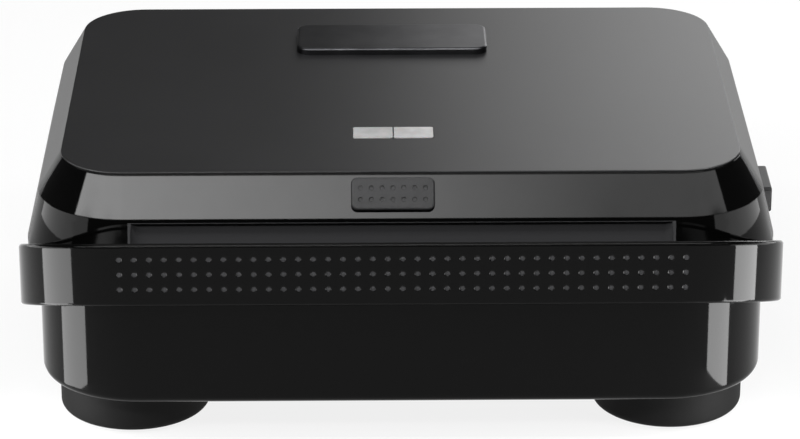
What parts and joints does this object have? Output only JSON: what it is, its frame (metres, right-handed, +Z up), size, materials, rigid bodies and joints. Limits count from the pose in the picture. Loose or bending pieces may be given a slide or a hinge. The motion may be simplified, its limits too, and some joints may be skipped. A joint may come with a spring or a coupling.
{
  "type": "electric multi grill",
  "caption": "Table-top electric contact grill: low base on round feet, hinged lid with a dotted handle band, sliding latch, twin lamps and removable ribbed plates.",
  "frame": {"origin": "middle of the object's footprint, on the surface it stands on", "axes": "+X to the right as the user faces it, +Y away from the user towards the hinge, +Z up"},
  "size_m": [0.262, 0.222, 0.0945],
  "materials": {
    "satin_cover": "satin moulded",
    "gloss_black": "high gloss moulded",
    "latch_plastic": "satin moulded",
    "button_plastic": "satin moulded",
    "foot_plastic": "fine grained",
    "foot_rubber": "matt",
    "frame_plastic": "fine grained",
    "nonstick": "non-stick coated cast aluminium",
    "element_steel": "heat tinted",
    "reflector_aluminium": "bright rolled",
    "pressed_steel": "zinc plated",
    "screw_steel": "zinc plated",
    "hinge_plastic": "satin moulded",
    "bush_brass": "turned",
    "lamp_lens": "frosted translucent",
    "holder_plastic": "moulded",
    "bulb_glass": "clear",
    "nameplate_metal": "fine brushed, dark anodised",
    "lead_insulation": "silicone sleeved",
    "thermostat_metal": "pressed"
  },
  "bodies": {
    "base": {"base_housing": "gloss_black", "lower_frame": "frame_plastic", "lower_plate": "nonstick", "lower_element": "element_steel", "lower_element_saddles": "pressed_steel", "lower_reflector": "reflector_aluminium", "thermostat": "thermostat_metal", "thermal_fuse": "thermostat_metal", "terminal_block": "holder_plastic", "cord_gland": "foot_rubber", "base_wiring": "lead_insulation", "front_left_foot": "foot_plastic", "front_right_foot": "foot_plastic", "rear_left_foot": "foot_plastic", "rear_right_foot": "foot_plastic", "foot_pads": "foot_rubber", "foot_screws": "screw_steel", "base_screws": "screw_steel", "hinge_brackets": "hinge_plastic", "hinge_pins": "screw_steel", "bracket_screws": "screw_steel", "latch_keeper": "pressed_steel", "lower_release_spring": "screw_steel"},
    "lid": {"lid_cover": "satin_cover", "front_fascia": "gloss_black", "handle_band": "gloss_black", "upper_frame": "frame_plastic", "upper_plate": "nonstick", "upper_element": "element_steel", "upper_element_saddles": "pressed_steel", "upper_reflector": "reflector_aluminium", "power_lamp_lens": "lamp_lens", "ready_lamp_lens": "lamp_lens", "lamp_holder": "holder_plastic", "indicator_bulbs": "bulb_glass", "nameplate": "nameplate_metal", "hinge_arms": "hinge_plastic", "hinge_bushes": "bush_brass", "lid_screws": "screw_steel", "lid_wiring": "lead_insulation", "latch_guide": "frame_plastic", "upper_release_spring": "screw_steel"},
    "latch": {"latch_slider": "latch_plastic", "latch_hook": "pressed_steel"},
    "upper_release": {"upper_release_button": "button_plastic", "upper_release_strip": "pressed_steel"},
    "lower_release": {"lower_release_button": "button_plastic", "lower_release_strip": "pressed_steel"}
  },
  "joints": [
    {"name": "lid_hinge", "type": "hinge", "parent": "base", "child": "lid", "pos_m": [0, 0.102, 0.06], "axis": [-1, 0, 0], "range_deg": [0, 105]},
    {"name": "latch_slide", "type": "slide", "parent": "lid", "child": "latch", "axis": [1, 0, 0], "range_m": [0, 0.006]},
    {"name": "upper_release_press", "type": "slide", "parent": "lid", "child": "upper_release", "axis": [-1, 0, 0], "range_m": [0, 0.0025], "stiffness_N_per_m": 600, "springref_m": -0.003, "deforming": ["upper_release_spring"]},
    {"name": "lower_release_press", "type": "slide", "parent": "base", "child": "lower_release", "axis": [-1, 0, 0], "range_m": [0, 0.0025], "stiffness_N_per_m": 600, "springref_m": -0.003, "deforming": ["lower_release_spring"]}
  ]
}
